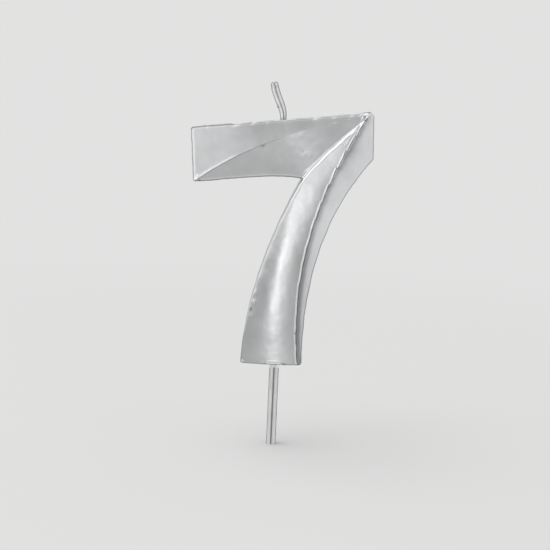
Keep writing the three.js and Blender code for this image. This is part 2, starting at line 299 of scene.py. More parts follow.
def corner_shift(points, corner, before, after, radius):
    """Plan moves that turn a sharp outline corner into an arc, fading out inside."""
    tip = corner[[0, 2]]
    arms = [(p[[0, 2]] - tip) / np.linalg.norm(p[[0, 2]] - tip) for p in (before, after)]
    half = math.acos(float(np.clip(arms[0] @ arms[1], -1, 1))) / 2
    inward = (arms[0] + arms[1]) / np.linalg.norm(arms[0] + arms[1])
    reach = radius / math.tan(half)
    centre = tip + inward * radius / math.sin(half)
    rel = points[:, [0, 2]] - tip
    axis = np.array([-inward[1], inward[0]])
    side = np.sign(rel @ axis)
    side[side == 0] = 1
    first, second = arms if arms[0] @ axis > 0 else arms[::-1]
    arm = np.where(side[:, None] > 0, first, second)
    along = np.sum(rel * arm, axis=1)
    off = np.linalg.norm(rel - along[:, None] * arm, axis=1)
    share = np.clip(along / reach, 0, 1)
    border = tip + np.clip(along, 0, reach)[:, None] * arm
    spread = (math.pi / 2 - half) * share
    on_arc = centre + radius * (-np.cos(spread)[:, None] * inward + (np.sin(spread) * side)[:, None] * axis)
    fade = np.clip(1 - off / (2.2 * reach), 0, 1) ** 2 * (along < reach) * (along > -1e-6)
    return (on_arc - border) * fade[:, None]


def make_mesh(name, points, faces, material):
    mesh = bpy.data.meshes.new(name)
    mesh.from_pydata((np.asarray(points) * MM).tolist(), [], [list(map(int, f)) for f in faces])
    mesh.update()
    mesh.polygons.foreach_set("use_smooth", [True] * len(mesh.polygons))
    mesh.materials.append(material)
    piece = bpy.data.objects.new(name, mesh)
    bpy.context.scene.collection.objects.link(piece)
    return piece


def add_attribute(piece, name, values):
    layer = piece.data.attributes.new(name, "FLOAT", "POINT")
    layer.data.foreach_set("value", np.asarray(values, np.float32))


# ---------------------------------------------------------------- materials

def new_material(name):
    material = bpy.data.materials.new(name)
    material.use_nodes = True
    tree = material.node_tree
    return material, tree, tree.nodes["Principled BSDF"]


def add_node(tree, kind, **inputs):
    node = tree.nodes.new(kind)
    for key, value in inputs.items():
        node.inputs[key.replace("_", " ")].default_value = value
    return node


def noise_node(tree, per_mm, detail=3.0, roughness=0.5, stretch=None):
    """Noise in object space, with per_mm cells to the millimetre."""
    coordinates = tree.nodes.new("ShaderNodeTexCoord")
    noise = add_node(tree, "ShaderNodeTexNoise", Scale=per_mm / MM, Detail=detail, Roughness=roughness)
    source = coordinates.outputs["Object"]
    if stretch:
        mapping = add_node(tree, "ShaderNodeMapping", Scale=stretch)
        tree.links.new(source, mapping.inputs["Vector"])
        source = mapping.outputs["Vector"]
    tree.links.new(source, noise.inputs["Vector"])
    return noise.outputs["Fac"]


def ramp(tree, source, stops):
    node = tree.nodes.new("ShaderNodeValToRGB")
    elements = node.color_ramp.elements
    while len(elements) < len(stops):
        elements.new(0.5)
    for element, (place, value) in zip(elements, stops):
        element.position = place
        element.color = (*value, 1) if isinstance(value, tuple) else (value, value, value, 1)
    tree.links.new(source, node.inputs["Fac"])
    return node.outputs["Color"]


def mix(tree, share, a, b):
    node = tree.nodes.new("ShaderNodeMix")
    node.data_type = "RGBA"
    for socket, value in ((node.inputs[0], share), (node.inputs[6], a), (node.inputs[7], b)):
        if isinstance(value, bpy.types.NodeSocket):
            tree.links.new(value, socket)
        else:
            socket.default_value = value
    return node.outputs[2]


def bump(tree, source, height_mm, strength, after=None):
    node = add_node(tree, "ShaderNodeBump", Strength=strength, Distance=height_mm * MM)
    tree.links.new(source, node.inputs["Height"])
    if after:
        tree.links.new(after, node.inputs["Normal"])
    return node.outputs["Normal"]


# Colour of painted shade, towards which the shade attribute and the turned-away rims darken the film.
PAINTED_SHADE_COLOUR = (0.2, 0.2, 0.21, 1)
LIT_AND_WORN_ROUGHNESS, LIT_AND_WORN_METALLIC = (0.16, 0.16, 0.16, 1), 0.45


def marked(tree, colour, rough, lit_and_worn_colour, metallic):
    """Colour, roughness and metal share, changed by the attributes: lighter for wear and painted highlights,
    darker for painted shade and dark marks.
    """
    lit_and_worn = add_node(tree, "ShaderNodeAttribute")
    lit_and_worn.attribute_name = "lit_and_worn"
    shade = add_node(tree, "ShaderNodeAttribute")
    shade.attribute_name = "shade"
    colour = mix(tree, lit_and_worn.outputs["Fac"], colour, (*lit_and_worn_colour, 1))
    colour = mix(tree, shade.outputs["Fac"], colour, PAINTED_SHADE_COLOUR)
    rough = mix(tree, lit_and_worn.outputs["Fac"], rough, LIT_AND_WORN_ROUGHNESS)
    metal = ramp(tree, lit_and_worn.outputs["Fac"], [(0.0, metallic), (1.0, LIT_AND_WORN_METALLIC * metallic)])
    return colour, rough, metal


def silver(name, dark, bright, rough, grain, lit_and_worn_colour=None, rim=(0.72, 0.97, 0.8), peel_height=0.03,
           metallic=1.0, edge_tint=1.0):
    """Silver film: uneven colour and gloss, fine grain, and painted shade that darkens its colour where it
    turns away from the view.
    """
    material, tree, shader = new_material(name)
    shader.inputs["Metallic"].default_value = metallic
    shader.inputs["Specular Tint"].default_value = (edge_tint, edge_tint, edge_tint, 1)
    cloud = noise_node(tree, per_mm=0.16, detail=4.0, roughness=0.55)
    streaks = noise_node(tree, per_mm=0.5, detail=2.0, roughness=0.5, stretch=(1.0, 1.0, 0.25))
    flakes = noise_node(tree, per_mm=1 / grain[0], detail=1.0, roughness=0.4)
    colour = ramp(tree, cloud, [(0.3, dark), (0.7, bright)])
    colour = mix(tree, ramp(tree, flakes, [(0.35, 0.0), (0.75, 0.22)]), colour, (*bright, 1))
    gloss = ramp(tree, streaks, [(0.25, rough[0]), (0.75, rough[1])])
    if lit_and_worn_colour:
        colour, gloss, metal = marked(tree, colour, gloss, lit_and_worn_colour, metallic)
        tree.links.new(metal, shader.inputs["Metallic"])
    # Painted shade: the colour darkens towards the painted shade colour as the surface turns away from the
    # view, by the rim stops.
    turned = add_node(tree, "ShaderNodeLayerWeight", Blend=0.5)
    painted_rim_shade = ramp(tree, turned.outputs["Facing"], [(rim[0], 0.0), (rim[1], rim[2])])
    colour = mix(tree, painted_rim_shade, colour, PAINTED_SHADE_COLOUR)
    tree.links.new(colour, shader.inputs["Base Color"])
    tree.links.new(gloss, shader.inputs["Roughness"])
    peel = bump(tree, noise_node(tree, per_mm=0.55, detail=2.0, roughness=0.5), peel_height, 0.55)
    fine = bump(tree, flakes, grain[1], 0.5, after=peel)
    tree.links.new(fine, shader.inputs["Normal"])
    return material


wax_lacquer = silver(
    "silver_lacquer", dark=(0.66, 0.67, 0.675), bright=(0.76, 0.768, 0.775), rough=(0.17, 0.25),
    grain=(0.14, 0.004), lit_and_worn_colour=(0.97, 0.975, 0.98))
seal_lacquer = silver(
    "seal_lacquer", dark=(0.78, 0.785, 0.79), bright=(0.9, 0.905, 0.91), rough=(0.1, 0.2),
    grain=(0.2, 0.003), rim=(0.6, 0.95, 0.8), peel_height=0.01, metallic=0.6)
pick_plating = silver(
    "pick_plating", dark=(0.72, 0.725, 0.73), bright=(0.84, 0.845, 0.85), rough=(0.1, 0.18),
    grain=(0.25, 0.003), rim=(0.18, 0.45, 0.85), peel_height=0.01, metallic=0.5, edge_tint=0.12)
wick_silver = silver(
    "dipped_braid", dark=(0.82, 0.82, 0.815), bright=(0.92, 0.92, 0.915), rough=(0.2, 0.3),
    grain=(0.25, 0.003), lit_and_worn_colour=(0.97, 0.97, 0.97), rim=(0.09, 0.34, 1.0), peel_height=0.006,
    metallic=0.1, edge_tint=0.15)


# ---------------------------------------------------------------- the numeral

BUMPS = [  # place x and z, radius and height of small blobs and nicks in the lacquer
    (-6.4, 17.5, 0.4, 0.14), (-7.0, 14.6, 0.3, -0.1), (-6.1, 20.2, 0.35, 0.1), (13.2, 66.9, 0.22, 0.12),
    (6.0, 15.8, 0.32, 0.2), (5.9, 17.0, 0.26, 0.14), (-8.9, 0.7, 0.3, 0.1), (6.4, 0.8, 0.3, 0.12),
    (-22.9, 51.0, 0.42, 0.16), (-23.4, 50.2, 0.35, 0.14), (16.9, 67.9, 0.2, 0.12), (9.9, 67.6, 0.2, 0.1),
    (20.7, 69.4, 0.28, 0.12), (20.1, 68.9, 0.25, 0.12), (21.9, 68.5, 0.25, 0.1), (23.1, 68.7, 0.22, 0.1),
]
SPOTS = [  # place x and z and radius of small dark marks
    (-5.5, 59.9, 0.34), (-22.6, 49.7, 0.32), (-25.2, 63.9, 0.35), (2.7, 0.3, 0.3), (10.9, 28.5, 0.2),
    (4.9, 51.2, 0.35), (-7.1, 15.3, 0.28), (-6.6, 18.6, 0.22), (4.8, 58.9, 0.14), (20.5, 69.2, 0.2),
    (21.0, 68.9, 0.2), (21.4, 68.6, 0.24), (21.3, 67.8, 0.22), (5.2, 12.9, 0.16), (5.35, 9.0, 0.2),
    (5.5, 6.4, 0.18),
]
CHIPS = [  # place, half width and depth along the top edge
    (-20.9, 0.25, 0.15), (-13.6, 0.4, 0.3), (-12.5, 0.3, 0.2), (-8.4, 0.3, 0.3), (-4.9, 0.2, 0.1),
    (8.1, 0.35, 0.2), (13.0, 0.25, 0.1), (17.6, 0.25, 0.1),
]
CHIP_REACH, CHIP_SWELL = 1.2, 0.06

# The ridge's lip has a shorter twin beside its top and a groove on its right, which painted shade darkens.
TWIN_LIP_HEIGHT, TWIN_LIP_PLACE, TWIN_LIP_END = 0.16, 0.75, 0.13
GROOVE_DEPTH, GROOVE_PLACE, GROOVE_WIDTH = 0.1, 0.26, 0.14

# Low raised lines along the crease's left part and beside the bar's left end.
CREASE_LIP_HEIGHT, CREASE_LIP_END = 0.04, 0.29
CREASE_LIP_ABOVE, CREASE_LIP_BELOW = 0.3, 0.1
END_LIP_HEIGHT, END_LIP_PLACE, END_LIP_WIDTH = 0.04, 0.5, 0.22

POOL_HEIGHT, POOL_PLACE, POOL_WIDTH = 0.25, (-0.2, 0.5), (2.15, 0.28)
DIMPLE_PLACE, DIMPLE_DEPTH, DIMPLE_RADIUS = (6.3, 57.6), 0.09, 0.4
DIMPLE_RIM_HEIGHT, DIMPLE_RIM_RADIUS, DIMPLE_RIM_WIDTH = 0.05, 0.62, 0.2
CAP_PLACE, CAP_SIZE, CAP_HEIGHT = (22.3, 68.7), (1.7, 1.15), 0.42
CAP_LIFT, CAP_LIFT_WIDTH = 0.3, 1.5

# Waves as (length, height) pairs.
SKIN_WAVES = [(17, 0.022), (7, 0.007), (2.6, 0.002)]
OUTLINE_WAVES_X, OUTLINE_WAVES_Z = [(6, 0.045), (2.2, 0.02)], [(6, 0.035), (2.2, 0.02)]
BACK_WAVES = [(15, 0.04), (6, 0.02)]
WALL_WAVES = [(9, 0.035), (4, 0.015)]
BACK_SINK, SINK_START, SINK_LENGTH = 0.28, 0.6, 2.5  # the open pour shrinks towards its middle
VALLEY_FILL_WIDTH, VALLEY_FILL_PASSES, VALLEY_FILL_RATE = 0.9, 30, 0.7
WALL_ROWS = 12
SEAM_HEIGHT, SEAM_SHARPNESS, WALL_INSET = 0.06, 9, 0.03


def ridge_offset(points, names):
    """Signed plan distance from the ridge, negative on the stem's side, and the place down the ridge."""
    d, place = distance_to_line(points, ridge(np.linspace(0, 1, 400)))
    left = np.isin(names, ["stem", "inner", "lower", "upper"])
    return np.where(left, -d, d), place


def ridge_steps(place):
    """Sideways shifts of the lip, whose upper half runs in short overlapping steps."""
    phase = place / STEP_END * STEP_COUNT
    fade = np.clip(1 - place / STEP_END, 0, 1) ** 0.5 * np.clip(place / 0.04, 0, 1)
    return STEP_SHIFT * ((phase % 1.0) - 0.5) * fade + 0.015 * np.sin(place * 90)


def lip(off):
    """Cross-section of the raised line: soft on the stem's side, sharp on the other."""
    return np.where(off < 0, bell(off, LIP_WIDTH), bell(off, 0.45 * LIP_WIDTH))


def pool_share(x, z):
    """Lacquer pooled on the front's lower edge above the pick."""
    sideways = np.clip((POOL_WIDTH[0] - np.abs(x - POOL_PLACE[0])) / 0.5, 0, 1)
    return bell(z - POOL_PLACE[1], POOL_WIDTH[1]) * sideways


def top_height(x):
    """Height of the bar's top edge over x."""
    return TOP_LEFT[2] + (x - TOP_LEFT[0]) * BAR_CLIMB / BAR_LENGTH


def survey(points, owner, loop):
    """What the front's details hang on: each point's facet, and its distances to the lines and the border."""
    names = np.array(owner)
    off, place = ridge_offset(points, names)
    border, _ = distance_to_line(points, points[loop], closed=True)
    border[loop] = 0
    crease_distance, crease_place = distance_to_line(points, crease(np.linspace(0, 1, 300)))
    return SimpleNamespace(
        x=points[:, 0], z=points[:, 2], names=names, border=border, place=place,
        off=off - ridge_steps(place), straight_off=off, crease=crease_distance, crease_place=crease_place,
        end=distance_to_line(points, left_end(np.linspace(0, 1, 12)))[0],
        top=distance_to_line(points, top_edge(np.linspace(0, 1, 60)))[0],
        valley=distance_to_line(points, valley(np.linspace(0, 1, 120)))[0])


def line_heights(front):
    """Height of the raised lines along ridge, crease and left end."""
    place = front.place
    strength = (0.8 + 0.3 * np.sin(place * 31) * np.sin(place * 57 + 1)) * np.clip(place / 0.05, 0.3, 1)
    extra = LIP_HEIGHT * lip(front.off) * strength
    twin_fade = np.clip(1 - place / TWIN_LIP_END, 0, 1) ** 0.5
    extra += TWIN_LIP_HEIGHT * lip(front.straight_off + TWIN_LIP_PLACE) * twin_fade
    groove = bell(front.off - GROOVE_PLACE, GROOVE_WIDTH) * (0.7 + 0.3 * np.sin(place * 140))
    extra -= GROOVE_DEPTH * groove
    width = np.where(front.names == "upper", CREASE_LIP_ABOVE, CREASE_LIP_BELOW)
    left_part = np.clip((CREASE_LIP_END - front.crease_place) / 0.05, 0, 1)
    extra += CREASE_LIP_HEIGHT * bell(front.crease, width) * left_part
    extra += END_LIP_HEIGHT * bell(front.end - END_LIP_PLACE, END_LIP_WIDTH)
    return extra


def front_details(front):
    """Height added to the grid by raised lines, pooled lacquer, blobs and the uneven skin."""
    x, z = front.x, front.z
    extra = waves(x, z, 7, SKIN_WAVES) + line_heights(front)
    for cx, radius, _ in CHIPS:
        extra += CHIP_SWELL * bell(np.hypot(x - cx, z - top_height(cx) + 0.5), 0.8 * radius)
    extra += POOL_HEIGHT * pool_share(x, z)
    for bx, bz, radius, height in BUMPS:
        extra += height * bell(np.hypot(x - bx, z - bz), radius)
    ring = np.hypot(x - DIMPLE_PLACE[0], z - DIMPLE_PLACE[1])
    extra += DIMPLE_RIM_HEIGHT * bell(ring - DIMPLE_RIM_RADIUS, DIMPLE_RIM_WIDTH)
    extra -= DIMPLE_DEPTH * bell(ring, DIMPLE_RADIUS)
    cap_x, cap_z = (x - CAP_PLACE[0]) / CAP_SIZE[0], (z - CAP_PLACE[1]) / CAP_SIZE[1]
    cap = np.hypot(cap_x, cap_z)
    extra += CAP_HEIGHT * bell(cap, 0.8) + 0.05 * bell(cap - 0.95, 0.16) * (cap_x < 0.4)
    return extra


def soften_valley(points, faces, distance):
    """Evens heights along the valley, whose fold is filled with lacquer."""
    weight = np.clip(1 - distance / VALLEY_FILL_WIDTH, 0, 1) ** 1.5
    chosen = {int(i) for i in np.nonzero(weight > 0)[0]}
    neighbours = {i: set() for i in chosen}
    for face in faces:
        for k, v in enumerate(face):
            if v in chosen:
                neighbours[v].update((face[k - 1], face[(k + 1) % len(face)]))
    order = sorted(chosen)
    lists = [sorted(neighbours[i]) for i in order]
    height = points[:, 1].copy()
    for _ in range(VALLEY_FILL_PASSES):
        means = np.array([height[group].mean() for group in lists])
        height[order] += (means - height[order]) * weight[order] * VALLEY_FILL_RATE
    points[:, 1] = height


def cast_outline(points):
    """The points' plan with rounded corners, chips in the top edge and the cast's slight unevenness."""
    corners = [
        (TOP_RIGHT, TOP_LEFT, SHOULDER, PEAK_CORNER_ROUND),
        (TOP_LEFT, LOW_LEFT, TOP_RIGHT, CORNER_ROUND),
        (LOW_LEFT, bottom_edge(0.04), TOP_LEFT, CORNER_ROUND),
        (SHOULDER, TOP_RIGHT, stem_right(0.03), CORNER_ROUND),
        (FOOT_RIGHT, stem_right(0.98), FOOT_LEFT, CORNER_ROUND),
        (FOOT_LEFT, FOOT_RIGHT, stem_left(0.98), CORNER_ROUND),
    ]
    x, z = points[:, 0], points[:, 2]
    plan = points[:, [0, 2]].copy()
    for corner, before, after, radius in corners:
        plan += corner_shift(points, corner, before, after, radius)
    for cx, radius, depth in CHIPS:
        reach = np.clip(1 - (top_height(x) - z) / CHIP_REACH, 0, 1)
        plan[:, 1] -= depth * bell(x - cx, radius) * reach
    plan[:, 1] += CAP_LIFT * bell(np.hypot(x - CAP_PLACE[0], z - TOP_RIGHT[2]), CAP_LIFT_WIDTH)
    plan[:, 0] += waves(x, z, 31, OUTLINE_WAVES_X)
    plan[:, 1] += waves(x, z, 37, OUTLINE_WAVES_Z)
    return plan


def back_depth(plan, border):
    """Depth of the back, sunk a little towards its middle."""
    sink = BACK_SINK * (1 - np.exp(-np.clip(border - SINK_START, 0, None) / SINK_LENGTH))
    back = BACK_Y - round_drop(border, BACK_ROUND) - sink
    return back + waves(plan[:, 0], plan[:, 1], 11, BACK_WAVES) * np.clip(border, 0, 1)


def side_walls(loop, plan, front_y, back_y, count):
    """Rows of points and faces from the front's border to the back's, with the mould's seam halfway."""
    edge_plan = plan[loop]
    ahead = np.roll(edge_plan, -1, axis=0) - np.roll(edge_plan, 1, axis=0)
    normal = np.column_stack([ahead[:, 1], -ahead[:, 0]])
    normal /= np.maximum(np.linalg.norm(normal, axis=1), 1e-9)[:, None]
    rows, faces = [], []
    previous, start = list(loop), 2 * count
    for row in range(1, WALL_ROWS + 1):
        share = row / WALL_ROWS
        if row < WALL_ROWS:
            y = front_y + (back_y - front_y) * share
            proud = SEAM_HEIGHT * math.exp(-((share - 0.5) * SEAM_SHARPNESS) ** 2) - WALL_INSET
            proud = proud + waves(edge_plan[:, 0] + y, edge_plan[:, 1] + 2 * y, 23, WALL_WAVES)
            shifted = edge_plan + normal * proud[:, None]
            rows.append(np.column_stack([shifted[:, 0], y, shifted[:, 1]]))
            current = list(range(start, start + len(loop)))
            start += len(loop)
        else:
            current = [v + count for v in loop]
        for k in range(len(loop)):
            j = (k + 1) % len(loop)
            faces.append([previous[j], previous[k], current[k], current[j]])
        previous = current
    return rows, faces


def clear_of_top(front):
    """0 along the middle of the top edge, which gets no painted border lines, and 1 elsewhere."""
    clear = np.clip(front.top / 0.6, 0, 1)
    clear = np.maximum(clear, np.clip((-12 - front.x) / 1.5, 0, 1))
    return np.maximum(clear, np.clip((front.x - 21.5) / 0.8, 0, 1))


def lit_and_worn_places(front):
    """Where the film is lighter: chips in the top edge, blobs and pooled lacquer, and painted highlights on
    the raised lines, just inside the border, along the left end, above the crease and beside the valley.
    """
    x, z, place, border = front.x, front.z, front.place, front.border
    on_stem, on_side = front.names == "stem", np.isin(front.names, ["side", "end"])
    clear = clear_of_top(front)

    # Painted highlight on the ridge's lip and on its twin beside the top.
    lit_and_worn = lip(front.off * 0.9) + 0.7 * lip(front.off + TWIN_LIP_PLACE) * (place < 0.12)
    # Lighter blobs and pooled lacquer, and chips in the top edge where the wax shows through.
    for bx, bz, radius, height in BUMPS:
        lit_and_worn += 0.9 * bell(np.hypot(x - bx, z - bz), radius * 0.9) * (height > 0)
    for cx, radius, _ in CHIPS:
        lit_and_worn += bell(np.hypot(x - cx, z - top_height(cx) + 0.4), 1.4 * radius)
    lit_and_worn += 0.9 * pool_share(x, z)

    # Painted highlights: a line just inside the border, one along the bar's left end, one above the crease's
    # left part and a band beside the valley on the stem.
    lit_edge = np.where(on_stem, np.clip((z - 15) / 12, 0, 1), 1.0)
    lit_edge = np.where(on_side, 0.1, lit_edge)
    lit_and_worn += 0.5 * lit_edge * bell(border - 0.5, 0.16) * clear
    climb = np.clip((z - LOW_LEFT[2]) / BAR_END, 0, 1)
    lit_and_worn += (0.45 + 0.55 * climb) * bell(front.end - 0.55, 0.26) * np.clip(border / 0.4, 0, 1)
    left_part = np.clip((CREASE_LIP_END - front.crease_place) / 0.04, 0, 1) * (1 - front.crease_place)
    lit_and_worn += (front.names == "upper") * bell(front.crease - 0.25, 0.32) * left_part
    lit_and_worn += on_stem * 0.4 * bell(front.valley - 0.2, 0.6)
    # Nothing lighter right at the border, where the painted shade line lies.
    return lit_and_worn * (1 - np.clip(bell(border, 0.2) * clear, 0, 1))


def painted_shade_and_spots(front):
    """Painted shade beside the ridge's lip, over the right facets, under the crease and along the border, and
    small dark spots.
    """
    x, z, place, border, off = front.x, front.z, front.place, front.border, front.off
    on_side = np.isin(front.names, ["side", "end"])

    # Painted shade: a dark line beside the ridge's lip, and a wider band over the right facets, darker
    # towards the foot.
    shade = bell(off - 0.24, 0.13) * (0.75 + 0.25 * np.sin(place * 140 + 2 * np.sin(place * 37)))
    right = np.where(off > 0, off, 9.0)
    shade += (0.3 + 0.35 * np.clip((place - 0.2) / 0.4, 0, 1)) * bell(right - 0.75, 0.75)
    shade += 0.22 * on_side * np.clip((place - 0.45) / 0.3, 0, 1)
    # Painted shade along the border and under the crease's left part.
    line = np.where(front.names == "stem", 0.5 + 0.5 * np.clip((place - 0.75) / 0.2, 0, 1), 1.0)
    shade += bell(border, 0.1 + 0.14 * line) * clear_of_top(front) * line
    along = front.crease_place
    fade = np.clip((0.72 - along) / 0.35, 0, 1) * np.clip(along / 0.03, 0, 1)
    shade += (front.names != "upper") * 0.55 * bell(front.crease - 0.05, 0.17) * fade
    # Small dark spots.
    for bx, bz, radius in SPOTS:
        shade += bell(np.hypot(x - bx, z - bz), radius)
    return shade


def build_numeral():
    rim_y = BACK_Y - RIM_THICKNESS
    points, faces, owner = joined_grid(front_patches())
    loop = border_loop(faces)
    front = survey(points, owner, loop)
    soften_valley(points, faces, front.valley)
    height = points[:, 1] + front_details(front) * np.clip(front.border / 0.15, 0.2, 1)
    height -= round_drop(front.border, FRONT_ROUND)

    plan = cast_outline(points)
    count = len(points)
    front_y, back_y = rim_y - height, back_depth(plan, front.border)
    rows, walls = side_walls(loop, plan, front_y[loop], back_y[loop], count)
    all_points = np.vstack([np.column_stack([plan[:, 0], y, plan[:, 1]]) for y in (front_y, back_y)] + rows)
    all_faces = [list(f) for f in faces] + [[v + count for v in f[::-1]] for f in faces] + walls

    piece = make_mesh("candle_numeral", all_points, all_faces, wax_lacquer)
    for name, film in (("lit_and_worn", lit_and_worn_places(front)), ("shade", painted_shade_and_spots(front))):
        values = np.zeros(len(all_points))
        values[:count] = np.clip(film, 0, 1)
        add_attribute(piece, name, values)
    return piece


# ---------------------------------------------------------------- the wick

WICK_EXIT, WICK_TIP = -0.45, 77.6
WICK_Y = (wick_low[1] + wick_high[1]) / 2
WICK_BENDS = [  # x from the exit and height over it, from inside the bar upwards
    (0.75, -5.0), (0.2, -2.0), (0.0, 0.0), (-0.12, 1.7), (-0.55, 3.3), (-1.5, 5.5), (-2.4, 7.8),
]
TIP_BEND, TIP_BELOW = -2.95, 0.5
STRAND_COUNT, STRAND_PITCH, STRAND_RADIUS = 2, 44.0, 0.56
BRAID_SWING, BRAID_DEPTH = 0.52, 0.3
STRAND_START = -1.6
NECK_PLACE, NECK_SHARE, HEAD_PLACE, HEAD_SHARE, NECK_LENGTH = 5.6, 0.12, 1.6, 0.08, 1.6
TIP_ROUND = 0.45
FIBRE_COUNT, FIBRE_LENGTH, FIBRE_CURL = 9, 0.62, 0.12
KNOT_FROM, KNOT_TO, KNOT_SIDE = 0.525, 0.57, 0.98
KNOT_RADII = [0.12, 0.26, 0.32, 0.3, 0.24, 0.1]
WICK_VOXEL, WICK_SMOOTHING = 0.06, 10


def smooth_through(places, values, t):
    """Catmull-Rom through values at uneven places."""
    slope = np.gradient(values, places)
    k = np.clip(np.searchsorted(places, t, side="right") - 1, 0, len(places) - 2)
    span = places[k + 1] - places[k]
    u = (t - places[k]) / span
    h00, h10 = 2 * u ** 3 - 3 * u ** 2 + 1, u ** 3 - 2 * u ** 2 + u
    h01, h11 = -2 * u ** 3 + 3 * u ** 2, u ** 3 - u ** 2
    return h00 * values[k] + h10 * span * slope[k] + h01 * values[k + 1] + h11 * span * slope[k + 1]


def wick_route(t):
    """The braid's centreline from inside the bar to its tip."""
    exit_z = top_height(WICK_EXIT)
    bends = np.array(WICK_BENDS + [(TIP_BEND, WICK_TIP - exit_z - TIP_BELOW)]) + [WICK_EXIT, 0]
    chord = np.concatenate([[0], np.cumsum(np.linalg.norm(np.diff(bends, axis=0), axis=1))])
    chord /= chord[-1]
    x = smooth_through(chord, bends[:, 0], t)
    z = smooth_through(chord, bends[:, 1], t) + exit_z
    return np.column_stack([x, np.full_like(x, WICK_Y), z])


def closed_tube_faces(rows, sides):
    """Faces between rings of points, and fans to the two last points, which close the first and last ring."""
    faces = []
    for i in range(rows - 1):
        for j in range(sides):
            k = (j + 1) % sides
            faces.append([i * sides + j, i * sides + k, (i + 1) * sides + k, (i + 1) * sides + j])
    low, high, last = rows * sides, rows * sides + 1, (rows - 1) * sides
    for j in range(sides):
        k = (j + 1) % sides
        faces.append([low, k, j])
        faces.append([high, last + j, last + k])
    return faces


def tube_mesh(path, radii, sides=10):
    """Points and faces of a closed tube along a path."""
    tangent = np.gradient(path, axis=0)
    tangent /= np.linalg.norm(tangent, axis=1)[:, None]
    side = np.cross(tangent, [0, 1.0, 0])
    side /= np.linalg.norm(side, axis=1)[:, None]
    other = np.cross(side, tangent)
    angle = np.linspace(0, 2 * math.pi, sides, endpoint=False)
    ring = (np.cos(angle)[None, :, None] * side[:, None] + np.sin(angle)[None, :, None] * other[:, None])
    points = (path[:, None] + ring * np.asarray(radii)[:, None, None]).reshape(-1, 3)
    return np.vstack([points, path[:1], path[-1:]]), closed_tube_faces(len(path), sides)


def wick_strands(route):
    """The braid's strands, twisting round the route."""
    length = np.concatenate([[0], np.cumsum(np.linalg.norm(np.diff(route, axis=0), axis=1))])
    tangent = np.gradient(route, axis=0)
    tangent /= np.linalg.norm(tangent, axis=1)[:, None]
    side = np.cross(tangent, [0, 1.0, 0])
    depth = np.array([0, 1.0, 0])
    neck = 1 - NECK_SHARE * bell(length - NECK_PLACE, NECK_LENGTH)
    neck += HEAD_SHARE * bell(length - length[-1] + HEAD_PLACE, NECK_LENGTH)
    ends = np.clip((length[-1] - length) / TIP_ROUND, 0, 1) ** 0.5
    for strand in range(STRAND_COUNT):
        phase = STRAND_START + 2 * math.pi * (length / STRAND_PITCH + strand / STRAND_COUNT)
        sway = BRAID_SWING * np.cos(phase) * neck * (0.55 + 0.45 * ends)
        dip = BRAID_DEPTH * np.sin(phase)
        path = route + side * sway[:, None] + depth * dip[:, None]
        yield tube_mesh(path, STRAND_RADIUS * (0.9 + 0.1 * neck) * np.clip(ends, 0.25, 1))


def loose_fibres(tip):
    """Stiff loose fibres at the cut tip."""
    draw = np.random.default_rng(5)
    u = np.linspace(0, 1, 8)[:, None]
    for _ in range(FIBRE_COUNT):
        lean = np.array([draw.uniform(-0.5, 0.35), draw.uniform(-0.4, 0.4), draw.uniform(0.25, 0.75)])
        base = tip + np.array([draw.uniform(-0.45, 0.45), draw.uniform(-0.3, 0.3), -0.4])
        path = base + lean * u * FIBRE_LENGTH + np.array([FIBRE_CURL, 0, 0]) * u ** 2
        yield tube_mesh(path, np.linspace(0.11, 0.07, 8), sides=6)


def wick_films(skin, route, knot_middle):
    """The wick's painted highlight down the front of its left strand and its darker places, at its points in
    millimetres.
    """
    exit_z = top_height(WICK_EXIT)
    ahead = skin[:, 1] < WICK_Y
    sideways = skin[:, 0] - np.interp(skin[:, 2], route[:, 2], route[:, 0])
    # Darker at the knot and just above the exit.
    shade = 1.2 * bell(np.linalg.norm(skin - knot_middle, axis=1), 0.5)
    shade += 0.4 * bell(skin[:, 2] - exit_z - 0.15, 0.3)
    # Painted shade in the groove between the strands, on the front.
    shade += 0.25 * bell(sideways - 0.12, 0.13) * ahead
    # Darker blotches near the tip.
    tip_share = np.clip((skin[:, 2] - exit_z - 7.0) / 3, 0, 1)
    shade += 0.45 * tip_share * (waves(skin[:, 0], skin[:, 2], 3, [(1.1, 1.0)]) > 0.25)
    # First a painted highlight down the front of the left strand, then the darker places.
    return bell(sideways + 0.35, 0.22) * ahead, np.clip(shade, 0, 1)


def build_wick():
    route = wick_route(np.linspace(0, 1, 220))
    knot_path = wick_route(np.linspace(KNOT_FROM, KNOT_TO, len(KNOT_RADII))) - np.array([KNOT_SIDE, 0, 0])
    tubes = [*wick_strands(route), *loose_fibres(route[-1]), tube_mesh(knot_path, KNOT_RADII, sides=8)]
    points, faces = [], []
    for tube, quads in tubes:
        faces += [[v + len(points) for v in q] for q in quads]
        points += tube.tolist()
    piece = make_mesh("wick_braid", points, faces, wick_silver)
    fuse(piece, WICK_VOXEL, WICK_SMOOTHING)
    lit, shade = wick_films(mesh_points(piece), route, knot_path.mean(axis=0))
    # Painted shade and darker marks, and the painted highlight, as the wick's attributes.
    add_attribute(piece, "shade", shade)
    add_attribute(piece, "lit_and_worn", lit)
    return piece


def mesh_points(piece):
    flat = np.zeros(len(piece.data.vertices) * 3, np.float32)
    piece.data.vertices.foreach_get("co", flat)
    return flat.reshape(-1, 3).astype(float) / MM


def fuse(piece, voxel_mm, smoothing):
    """Melts overlapping tubes into one skin, as a dip coat does."""
    remesh = piece.modifiers.new("fuse", "REMESH")
    remesh.mode = "VOXEL"
    remesh.voxel_size = voxel_mm * MM
    soften = piece.modifiers.new("soften", "SMOOTH")
    soften.factor, soften.iterations = 0.5, smoothing
    bake_modifiers(piece)


